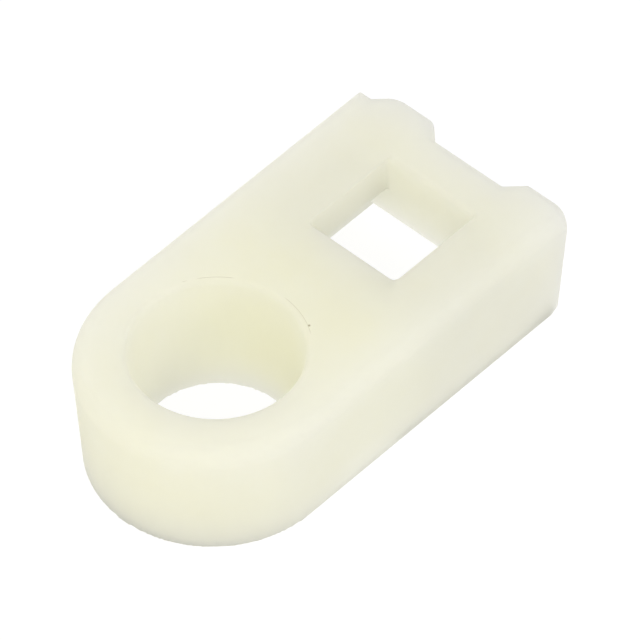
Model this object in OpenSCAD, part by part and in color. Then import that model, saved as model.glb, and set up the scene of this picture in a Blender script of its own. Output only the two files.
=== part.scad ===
// Cable tie mount moulded in one piece from natural nylon.
// The origin lies on the screw hole axis in the face that goes against the wall.
// Z points away from the wall and Y from the screw hole to the tie end.

/* [Body] */
// Greatest width of the body, just below its top edge
body_w = 12.6; // [11.5:0.1:16]
// Height from the wall face to the top face
body_h = 6.5; // [5.6:0.1:8]
// Distance from the screw hole axis to the flat end face
body_len = 16.4; // [15.4:0.1:20]
// Distance of the centre of the round end behind the screw hole axis
end_setback = 0.3; // [0:0.05:1]
// Lean of the outer walls, which close in toward the wall face
wall_draft = 3.5; // [0:0.5:6]
// Radius of the top edges along the sides, round the end and on the ears
edge_r = 0.85; // [0.3:0.05:1.3]

/* [Screw hole] */
// Diameter of the straight part of the hole
bore_d = 7.3; // [5:0.1:7.8]
// Height of the straight part above the wall face
bore_land = 2.5; // [1:0.1:4]
// Diameter of the hole just below its rounded rim
mouth_d = 8.1; // [7.8:0.1:9]
// Radius of the rim of the hole
rim_r = 0.25; // [0.1:0.05:0.5]

/* [Tie window] */
// Width of the window that the tie goes down through
window_w = 5.3; // [4:0.1:6.5]
// Length of the window
window_len = 5.4; // [4:0.1:6]
// Radius of the upright corners of the window on the screw hole side
window_r = 0.3; // [0.1:0.05:0.6]
// Length of the bridge between the window and the flat end face
bridge_len = 2.6; // [1.6:0.1:3.2]
// Thickness of the bridge that the tie goes round
bridge_t = 3.8; // [3:0.1:4.4]
// Radius of the bridge's upper edge beside the window
bridge_r = 0.3; // [0.1:0.05:0.8]
// Sideways shift of the window and the ears from the screw hole axis
tie_shift = 0.5; // [0:0.05:0.8]

/* [Ears and end faces] */
// Width of the end notch at its floor
notch_w = 4.2; // [2.5:0.1:4.8]
// Distance that the ears stand out from the flat end face
ear_out = 0.85; // [0.5:0.05:1.4]
// Width across the two ears where they leave the end face
ears_w = 12; // [10.5:0.1:12.8]
// Turn of the slanted flanks of the ears from their far face
flank_turn = 45; // [35:1:55]
// Radius of the upright outer edges of the ears
ear_r = 1.5; // [0.4:0.1:2.6]
// Lean of the end faces, which close in toward the wall face
end_draft = 4; // [1:0.5:9]
// Height of the upright strip between the top edge and the leaning part of the end faces
end_strip = 0.2; // [0.1:0.05:1]
// Size of the cut on the lower edge of the end faces
toe_cut = 0.3; // [0.1:0.1:0.8]

/* [Underside pocket] */
// Thickness of the plate beside the window
plate_t = 2; // [1.5:0.1:3]
// Thickness of the pocket's side walls at the wall face
pocket_wall = 1.2; // [0.8:0.1:1.6]
// Radius of the upright corners of the pocket
pocket_r = 0.6; // [0.2:0.1:1.5]

/* [Hidden] */
$fn = 64;
over = 1;
corner_steps = 3;
edge_steps = 4;
foot_w = rounded(body_w - 2 * (body_h - edge_r) * tan(wall_draft));
window_far = body_len - bridge_len;
window_near = window_far - window_len;
pocket_w = foot_w - 2 * pocket_wall;
ear_reach = body_len + ear_out;
span = 2 * (body_w + ear_reach);

// Length rounded to a thousandth, so that shapes which touch share one figure
function rounded(length) = round(length * 1000) / 1000;

// Step of a given length up a face that leans out from the upright
function up_face(lean, length) = length * [sin(lean), cos(lean)];

// Rectangle between two opposite corners, with all four corners rounded
module rounded_rectangle(low, high, r) {
    size = high - low;
    translate(low + [r, 0])
        square(size - [2 * r, 0]);
    translate(low + [0, r])
        square(size - [0, 2 * r]);
    for (x = [low.x + r, high.x - r], y = [low.y + r, high.y - r])
        translate([x, y])
            circle(r);
}

// Sweep across X of an outline drawn in Y and Z
module across_x(width) {
    translate([-width / 2, 0, 0])
        rotate([90, 0, 90])
            linear_extrude(width)
                children();
}

// Half section of the body from an inner limit to its leaning side, with the top edge rounded
module half_section(from) {
    side = [body_w / 2, body_h - edge_r];
    polygon([
        [from, 0],
        [foot_w / 2, 0],
        side - up_face(wall_draft, edge_r * sin(wall_draft)),
        [side.x - edge_r, body_h],
        [from, body_h]
    ]);
    translate(side - [edge_r, 0])
        circle(edge_r);
}

// Straight length of the body up to the tips of the ears
module straight_length() {
    translate([0, ear_reach, 0])
        rotate([90, 0, 0])
            linear_extrude(ear_reach + end_setback)
                for (side = [0, 1])
                    mirror([side, 0])
                        half_section(-over);
}

// Round end with the same lean and top edge as the sides
module round_end() {
    translate([0, -end_setback, 0])
        rotate([0, 0, 180])
            rotate_extrude(angle = 180)
                half_section(0);
}

// All that lies within an end face, which is turned about the screw hole axis.
// The face has a cut lower edge, a leaning part, an upright strip and a top edge in small steps.
module within_face(turn, reach) {
    strip_z = body_h - edge_r - end_strip;
    foot = reach - (strip_z - toe_cut) * tan(end_draft);
    step = 90 / edge_steps;
    top = body_h + over * tan(step / 2);
    rotate([0, 0, turn])
        across_x(span)
            polygon([
                [-body_w, -over],
                [foot - toe_cut - over, -over],
                [foot, toe_cut],
                [reach, strip_z],
                for (angle = [0:step:90 - step])
                    [reach, body_h] - edge_r * [1 - cos(angle), 1 - sin(angle)],
                [reach - edge_r - over, top],
                [-body_w, top]
            ]);
}

// One of the two ears beside the end notch, with its root in the body
module ear() {
    inner_reach = body_len * cos(flank_turn) - notch_w / 2 * sin(flank_turn);
    outer_reach = body_len * cos(flank_turn) + ears_w / 2 * sin(flank_turn);
    corner_y = ear_reach - ear_r;
    corner_x = (outer_reach - ear_r - corner_y * cos(flank_turn)) / sin(flank_turn);
    intersection() {
        translate([0, body_len - 2 * over, -over])
            cube([body_w, ear_out + 3 * over, body_h + 3 * over]);
        within_face(flank_turn, inner_reach);
        // The far face, the outer flank and the steps of the round corner between them
        intersection_for(turn = [0:flank_turn / corner_steps:flank_turn])
            within_face(-turn, corner_x * sin(turn) + corner_y * cos(turn) + ear_r);
    }
}

// Straight body with the flat end and the ears
module straight_body() {
    intersection() {
        straight_length();
        union() {
            within_face(0, body_len);
            translate([tie_shift, 0, 0])
                for (side = [0, 1])
                    mirror([side, 0, 0])
                        ear();
        }
    }
}

// Hole that narrows from its rounded rim to the straight bore, as the ring of material leaves it
module screw_hole() {
    rim = [mouth_d / 2, body_h - rim_r];
    lean = atan2(rim.x - bore_d / 2, rim.y - bore_land);
    rotate_extrude()
        difference() {
            translate([0, -over])
                square([body_w / 2, body_h + 2 * over]);
            polygon([
                [bore_d / 2, -2 * over],
                [body_w, -2 * over],
                [body_w, body_h],
                [rim.x + rim_r, body_h],
                rim + up_face(lean, rim_r * sin(lean)),
                [bore_d / 2, bore_land]
            ]);
            translate(rim + [rim_r, 0])
                circle(rim_r);
        }
}

// Window through the plate, square at the bridge, whose upper edge is rounded
module tie_window() {
    linear_extrude(body_h + over) {
        rounded_rectangle([-window_w / 2, window_near], [window_w / 2, window_far], window_r);
        translate([-window_w / 2, window_far - window_len / 2])
            square([window_w, window_len / 2]);
    }
    across_x(window_w)
        difference() {
            translate([window_far - over, body_h - bridge_r])
                square([over + bridge_r, over]);
            translate([window_far + bridge_r, body_h - bridge_r])
                circle(bridge_r);
        }
}

// Hollow for the tie, shallower under the bridge and open at the wall face and at the end
module underside_pocket() {
    near = [-pocket_w / 2, window_near];
    translate([0, 0, -over]) {
        linear_extrude(over + body_h - bridge_t)
            rounded_rectangle(near, [pocket_w / 2, ear_reach + 2 * pocket_r], pocket_r);
        linear_extrude(over + body_h - plate_t)
            rounded_rectangle(near, [pocket_w / 2, window_far], pocket_r);
    }
}

// The whole mount
module tie_mount() {
    color("ivory")
        difference() {
            union() {
                straight_body();
                round_end();
            }
            screw_hole();
            translate([tie_shift, 0, 0])
                tie_window();
            underside_pocket();
        }
}

tie_mount();
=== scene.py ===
import math

import bmesh
import bpy
import numpy as np
from mathutils import Matrix, Vector


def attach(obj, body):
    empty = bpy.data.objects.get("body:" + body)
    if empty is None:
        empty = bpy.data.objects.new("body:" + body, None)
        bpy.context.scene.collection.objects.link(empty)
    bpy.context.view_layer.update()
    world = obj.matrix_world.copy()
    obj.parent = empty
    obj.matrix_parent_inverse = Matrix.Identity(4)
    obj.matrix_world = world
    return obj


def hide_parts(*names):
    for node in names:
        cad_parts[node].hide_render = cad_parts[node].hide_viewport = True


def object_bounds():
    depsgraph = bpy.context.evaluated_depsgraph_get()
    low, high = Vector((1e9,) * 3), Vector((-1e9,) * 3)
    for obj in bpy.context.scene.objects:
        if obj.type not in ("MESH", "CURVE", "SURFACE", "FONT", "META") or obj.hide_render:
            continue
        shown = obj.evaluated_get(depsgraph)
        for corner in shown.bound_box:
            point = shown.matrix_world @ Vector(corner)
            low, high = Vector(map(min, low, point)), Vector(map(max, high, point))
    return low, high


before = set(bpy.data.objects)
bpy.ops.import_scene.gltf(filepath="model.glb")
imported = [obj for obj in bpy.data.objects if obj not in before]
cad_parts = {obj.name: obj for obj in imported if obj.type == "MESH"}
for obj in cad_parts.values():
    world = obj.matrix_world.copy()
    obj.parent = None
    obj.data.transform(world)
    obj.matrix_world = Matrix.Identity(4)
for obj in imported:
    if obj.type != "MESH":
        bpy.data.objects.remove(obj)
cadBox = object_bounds()
mm = 0.001
white = (1, 1, 1, 1)
scene = bpy.context.scene
print("frame loaded, box in mm:", [round(c / mm, 2) for c in cadBox[1] - cadBox[0]])


# small helpers for shader trees
def addNode(tree, kind, inputs=None, **settings):
    node = tree.nodes.new(kind)
    for name, value in settings.items():
        setattr(node, name, value)
    for name, value in (inputs or {}).items():
        socket = node.inputs[name]
        if isinstance(value, bpy.types.NodeSocket):
            tree.links.new(value, socket)
        else:
            socket.default_value = value
    return node


def mathNode(tree, operation, first, second=0.0):
    return addNode(tree, "ShaderNodeMath", {0: first, 1: second}, operation=operation).outputs[0]


def fadeNode(tree, value, start, end, low=0.0, high=1.0):
    # smooth change from low to high while value goes from start to end
    return addNode(tree, "ShaderNodeMapRange",
                   {"Value": value, "From Min": start, "From Max": end, "To Min": low, "To Max": high},
                   interpolation_type="SMOOTHSTEP").outputs["Result"]


def noiseNode(tree, place, size, detail):
    # size is the width of one cloud of the noise, in metres
    return addNode(tree, "ShaderNodeTexNoise",
                   {"Vector": place, "Scale": 1 / size, "Detail": detail}).outputs["Fac"]


def mixColour(tree, amount, first, second):
    # the mix node has more sockets of the same names, so its colours go by number
    return addNode(tree, "ShaderNodeMix", {0: amount, 6: first, 7: second}, data_type="RGBA").outputs[2]


def offPoint(tree, x, y, point=(0, 0)):
    # distance from a point, seen from above
    flat = addNode(tree, "ShaderNodeCombineXYZ", {"X": x, "Y": y}).outputs[0]
    return addNode(tree, "ShaderNodeVectorMath", {0: flat, 1: (*point, 0)},
                   operation="DISTANCE").outputs["Value"]


def offCircle(tree, x, y, radius):
    # distance from a circle round the screw hole's axis, seen from above
    return mathNode(tree, "ABSOLUTE", mathNode(tree, "SUBTRACT", offPoint(tree, x, y), radius))


def newMaterial(name):
    material = bpy.data.materials.new(name)
    material.use_nodes = True
    material.node_tree.nodes.clear()
    return material, material.node_tree


# the moulded body: the CAD solid with its sharp edges softened as a mould leaves them
mountBody = {
    "weld": 0.0005,        # mm, points of the solid closer than this become one
    "grid": 0.08,          # mm, step of the remesh
    "passStrength": 0.5,   # share of the way to its neighbours that a pass moves a point
    "softening": 2,        # passes that round the edges over
    "plainTurn": 4.0,      # degrees per step of the grid, the most that counts as a plain wall
    "edgeSteps": 3,        # steps of the grid beside an edge that aren't polished
    "polishing": 60,       # passes that even out the facets of plain walls
    "facesKept": 0.25,     # share of the remesh's faces that stay
}


def applyModifiers(draft):
    shaped = bpy.data.meshes.new_from_object(draft.evaluated_get(bpy.context.evaluated_depsgraph_get()))
    draft.modifiers.clear()
    draft.data = shaped
    return shaped


def addSmoothing(draft, passes):
    smooth = draft.modifiers.new("smooth", "SMOOTH")
    smooth.factor = mountBody["passStrength"]
    smooth.iterations = passes
    return smooth


def plainVertices(mesh):
    # all vertices but those beside an edge, where the surface turns fast
    normals = np.empty(len(mesh.vertices) * 3)
    mesh.vertices.foreach_get("normal", normals)
    normals = normals.reshape(-1, 3)
    ends = np.empty(len(mesh.edges) * 2, dtype=int)
    mesh.edges.foreach_get("vertices", ends)
    first, second = ends.reshape(-1, 2).T
    leastMatch = math.cos(math.radians(mountBody["plainTurn"]))
    turning = (normals[first] * normals[second]).sum(axis=1) < leastMatch
    nearEdge = np.zeros(len(mesh.vertices), dtype=bool)
    for step in range(1 + mountBody["edgeSteps"]):
        nearEdge[first[turning]] = True
        nearEdge[second[turning]] = True
        turning = nearEdge[first] | nearEdge[second]
    return np.flatnonzero(~nearEdge).tolist()


def keepInBox(mesh):
    # rounding of the last digits must not carry a vertex out of the CAD box
    places = np.empty(len(mesh.vertices) * 3)
    mesh.vertices.foreach_get("co", places)
    places = np.clip(places.reshape(-1, 3), cadBox[0], cadBox[1])
    mesh.vertices.foreach_set("co", places.ravel())


def softenedMount(source):
    mesh = source.data.copy()
    mesh.materials.clear()
    mesh.transform(Matrix.Scale(1 / mm, 4))  # the remesh works on millimetres
    welded = bmesh.new()
    welded.from_mesh(mesh)
    bmesh.ops.remove_doubles(welded, verts=welded.verts, dist=mountBody["weld"])
    welded.to_mesh(mesh)
    welded.free()
    body = bpy.data.objects.new("mouldedMount", mesh)
    scene.collection.objects.link(body)

    remesh = body.modifiers.new("grid", "REMESH")
    remesh.mode = "VOXEL"
    remesh.voxel_size = mountBody["grid"]
    addSmoothing(body, mountBody["softening"])
    shaped = applyModifiers(body)

    plain = body.vertex_groups.new(name="plain")
    plain.add(plainVertices(shaped), 1.0, "REPLACE")
    addSmoothing(body, mountBody["polishing"]).vertex_group = plain.name
    fewer = body.modifiers.new("fewer", "DECIMATE")
    fewer.ratio = mountBody["facesKept"]
    shaped = applyModifiers(body)

    body.vertex_groups.clear()
    shaped.name = "mouldedMount"
    shaped.transform(Matrix.Scale(mm, 4))
    keepInBox(shaped)
    shaped.polygons.foreach_set("use_smooth", [True] * len(shaped.polygons))
    return body


# undyed nylon: creamy, a little cloudy, satin, with light going some way into it
nylonFinish = {
    "cream": (0.83, 0.824, 0.68, 1),
    "warmCream": (0.825, 0.812, 0.65, 1),
    "cloudSize": 4.0,              # mm
    "cloudDetail": 3.0,
    "cloudRange": (0.35, 0.7),     # noise at which the cream begins to turn warm, and is warm
    "grainSize": 0.18,             # mm
    "grainDetail": 2.0,
    "grainRange": (0.3, 0.7),      # noise at the low and at the high places of the grain
    "grainHeight": 0.02,           # mm
    "grainStrength": 0.08,
    "roughness": (0.45, 0.56),     # in the low and on the high places of the grain
    "shine": 0.1,
    "refraction": 1.53,
    "translucency": 1.0,
    "lightDepth": 12.0,            # mm that light goes into the nylon
}
# fine broken line that the mould left round the rim of the screw hole, with a dark speck in it
rimLine = {
    "colour": (0.3, 0.26, 0.15, 1),
    "radius": 4.34,                # mm
    "width": 0.06,                 # mm
    "arcs": ((53, 89, 0.3), (121, 146, 0.4), (150, 155, 0.3)),   # start and end in degrees, strength
    "arcFade": 4,                  # degrees over which an arc begins and ends
    "speck": (2.13, 3.84),         # mm
    "speckSize": 0.2,              # mm
    "topDepth": (0.3, 0.1),        # mm below the top face, where the marks begin and where they are whole
}


def rimMark(tree, place):
    x, y, z = addNode(tree, "ShaderNodeSeparateXYZ", {"Vector": place}).outputs
    angle = mathNode(tree, "ARCTAN2", y, x)
    strength = 0.0
    for start, end, most in rimLine["arcs"]:
        fade = min(rimLine["arcFade"], (end - start) / 2)
        begins, stops, fade = (math.radians(a) for a in (start, end, fade))
        rise = fadeNode(tree, angle, begins, begins + fade, 0.0, most)
        arc = mathNode(tree, "MULTIPLY", rise, fadeNode(tree, angle, stops, stops - fade))
        strength = mathNode(tree, "MAXIMUM", arc, strength)
    offLine = offCircle(tree, x, y, rimLine["radius"] * mm)
    line = mathNode(tree, "MULTIPLY", fadeNode(tree, offLine, rimLine["width"] * mm / 2, 0.0), strength)
    offSpeck = offPoint(tree, x, y, [c * mm for c in rimLine["speck"]])
    marks = mathNode(tree, "MAXIMUM", line, fadeNode(tree, offSpeck, rimLine["speckSize"] * mm / 2, 0.0))
    none, full = (cadBox[1].z - depth * mm for depth in rimLine["topDepth"])
    return mathNode(tree, "MULTIPLY", marks, fadeNode(tree, z, none, full))


def nylonMaterial():
    material, tree = newMaterial("naturalNylon")
    place = addNode(tree, "ShaderNodeTexCoord").outputs["Object"]
    clouds = noiseNode(tree, place, nylonFinish["cloudSize"] * mm, nylonFinish["cloudDetail"])
    warmth = fadeNode(tree, clouds, *nylonFinish["cloudRange"])
    colour = mixColour(tree, warmth, nylonFinish["cream"], nylonFinish["warmCream"])
    colour = mixColour(tree, rimMark(tree, place), colour, rimLine["colour"])

    grain = noiseNode(tree, place, nylonFinish["grainSize"] * mm, nylonFinish["grainDetail"])
    bump = addNode(tree, "ShaderNodeBump", {
        "Height": grain,
        "Strength": nylonFinish["grainStrength"],
        "Distance": nylonFinish["grainHeight"] * mm,
    })
    surface = addNode(tree, "ShaderNodeBsdfPrincipled", {
        "Base Color": colour,
        "Roughness": fadeNode(tree, grain, *nylonFinish["grainRange"], *nylonFinish["roughness"]),
        "Normal": bump.outputs["Normal"],
        "IOR": nylonFinish["refraction"],
        "Specular IOR Level": nylonFinish["shine"],
        "Subsurface Weight": nylonFinish["translucency"],
        "Subsurface Radius": (1.0, 1.0, 1.0),
        "Subsurface Scale": nylonFinish["lightDepth"] * mm,
    })
    addNode(tree, "ShaderNodeOutputMaterial", {"Surface": surface.outputs["BSDF"]})
    return material


mount = softenedMount(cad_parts["tie_mount"])
mount.data.materials.append(nylonMaterial())
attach(mount, "root")
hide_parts("tie_mount")
print("mount softened, faces:", len(mount.data.polygons))


# white studio: a light table, brightest under the mount, that keeps a faint shadow, and white all round
studio = {
    "floorSize": 2.0,                        # m
    "floorGap": 0.01,                        # mm between the table and the mount
    "tableColour": (0.8, 0.8, 0.8, 1),
    "glowUnder": 0.495,                      # light that comes up through the table under the mount
    "glowAround": 0.16,                      # the same farther out
    "glowLine": (0.8, 13.0),                 # mm along the mount, middle line of the bright place
    "glowEdge": (3.0, 9.0),                  # mm from that line, where the one goes over into the other
    "ringRadius": 4.4,                       # mm, dimmer ring of the table under the edge of the screw hole
    "ringEdge": (0.6, 1.4),                  # mm from the ring, where it goes over into the rest
    "ringGlow": 0.84,                        # share of the glow that is left on the ring
    "shadowColour": (0.16, 0.16, 0.16, 1),   # how much of the shadow shows on the table
    "seenWhite": 0.9,                        # white of the table as it is seen, without the lamps
    "roomLight": 0.38,                       # even light from all round
}


def seenDirectly(tree):
    path = addNode(tree, "ShaderNodeLightPath").outputs
    mirrored = mathNode(tree, "MAXIMUM", path["Is Glossy Ray"], path["Is Transmission Ray"])
    return mathNode(tree, "MAXIMUM", path["Is Camera Ray"], mirrored)


def glowingSurface(tree, colour, glow):
    matt = addNode(tree, "ShaderNodeBsdfDiffuse", {"Color": colour})
    light = addNode(tree, "ShaderNodeEmission", {"Color": white, "Strength": glow})
    return addNode(tree, "ShaderNodeAddShader", {0: matt.outputs[0], 1: light.outputs[0]}).outputs[0]


def tableGlow(tree):
    place = addNode(tree, "ShaderNodeTexCoord").outputs["Object"]
    split = addNode(tree, "ShaderNodeSeparateXYZ", {"Vector": place}).outputs
    x, y = split["X"], split["Y"]
    near, far = (end * mm for end in studio["glowLine"])
    onLine = mathNode(tree, "MINIMUM", mathNode(tree, "MAXIMUM", y, near), far)
    away = offPoint(tree, x, mathNode(tree, "SUBTRACT", y, onLine))
    start, end = (edge * mm for edge in studio["glowEdge"])
    glow = fadeNode(tree, away, start, end, studio["glowUnder"], studio["glowAround"])
    offRing = offCircle(tree, x, y, studio["ringRadius"] * mm)
    start, end = (edge * mm for edge in studio["ringEdge"])
    return mathNode(tree, "MULTIPLY", glow, fadeNode(tree, offRing, start, end, studio["ringGlow"], 1.0))


def floorMaterial():
    material, tree = newMaterial("litTable")
    table = glowingSurface(tree, studio["tableColour"], tableGlow(tree))
    seen = glowingSurface(tree, studio["shadowColour"], studio["seenWhite"])
    both = addNode(tree, "ShaderNodeMixShader", {0: seenDirectly(tree), 1: table, 2: seen})
    addNode(tree, "ShaderNodeOutputMaterial", {"Surface": both.outputs[0]})
    return material


def makeFloor():
    mesh = bpy.data.meshes.new("floor")
    half = studio["floorSize"] / 2
    low = cadBox[0].z - studio["floorGap"] * mm
    corners = [(-half, -half, low), (half, -half, low), (half, half, low), (-half, half, low)]
    mesh.from_pydata(corners, [], [(0, 1, 2, 3)])
    floor = bpy.data.objects.new("floor", mesh)
    floor.data.materials.append(floorMaterial())
    scene.collection.objects.link(floor)


def makeWorld():
    # the room is white to look at and gives some even light
    world = bpy.data.worlds.new("whiteRoom")
    world.use_nodes = True
    tree = world.node_tree
    tree.nodes.clear()
    strength = mathNode(tree, "MAXIMUM", seenDirectly(tree), studio["roomLight"])
    room = addNode(tree, "ShaderNodeBackground", {"Color": white, "Strength": strength})
    addNode(tree, "ShaderNodeOutputWorld", {"Surface": room.outputs[0]})
    scene.world = world


# soft lamps, each given by where it stands in mm, its width in mm, its power in watts and its colour
softLamps = {
    "front": {"place": (10, -110, 70), "width": 80, "power": 0.041, "colour": (1.0, 0.95, 0.6)},
    "camera": {"place": (70, -75, 110), "width": 80, "power": 0.051, "colour": (1.0, 0.99, 0.95)},
    "left": {"place": (-110, 20, 80), "width": 80, "power": 0.054, "colour": (1.0, 0.98, 0.84)},
    "behind": {"place": (-10, 130, 70), "width": 80, "power": 0.006, "colour": (1.0, 1.0, 1.0)},
    "ridge": {"place": (130, 95, 115), "width": 60, "power": 0.094, "colour": (1.0, 1.0, 0.98)},
}


def makeLamp(name, lamp, target):
    light = bpy.data.lights.new(name, "AREA")
    light.size = lamp["width"] * mm
    light.energy = lamp["power"]
    light.color = lamp["colour"]
    holder = bpy.data.objects.new(name, light)
    holder.location = Vector(lamp["place"]) * mm
    holder.rotation_euler = (target - holder.location).to_track_quat("-Z", "Y").to_euler()
    scene.collection.objects.link(holder)


makeFloor()
makeWorld()
for lampName, lampValues in softLamps.items():
    makeLamp(lampName, lampValues, (cadBox[0] + cadBox[1]) / 2)
print("studio ready, lamps:", len(softLamps))


# long lens, placed round the screw hole's axis at the wall face
cameraView = {
    "azimuth": 44.09,      # degrees
    "elevation": 48.92,    # degrees
    "roll": 1.285,         # degrees
    "distance": 453.7,     # mm
    "aimRight": 4.616,     # mm from the axis to the middle of the picture
    "aimUp": 5.625,        # mm
    "lens": 562.5,         # mm
    "sensor": 36,          # mm wide
    "nearest": 10,         # mm, nothing closer to the camera is seen
}


def makeCamera():
    azimuth, elevation, roll = (math.radians(cameraView[k]) for k in ("azimuth", "elevation", "roll"))
    back = Vector((math.sin(azimuth) * math.cos(elevation),
                   -math.cos(azimuth) * math.cos(elevation), math.sin(elevation)))
    level = Vector((math.cos(azimuth), math.sin(azimuth), 0))
    upright = back.cross(level)
    right = level * math.cos(roll) - upright * math.sin(roll)
    up = level * math.sin(roll) + upright * math.cos(roll)
    place = back * cameraView["distance"] * mm
    aim = (right * cameraView["aimRight"] + up * cameraView["aimUp"]) * mm
    toCamera = (place - aim).normalized()
    right = up.cross(toCamera).normalized()
    up = toCamera.cross(right)
    lensData = bpy.data.cameras.new("camera")
    lensData.lens = cameraView["lens"]
    lensData.sensor_width = cameraView["sensor"]
    lensData.clip_start = cameraView["nearest"] * mm
    camera = bpy.data.objects.new("camera", lensData)
    turn = Matrix((right, up, toCamera)).transposed().to_4x4()
    camera.matrix_world = Matrix.Translation(place) @ turn
    scene.collection.objects.link(camera)
    scene.camera = camera


makeCamera()
scene.view_settings.view_transform = "Standard"
print("camera placed")
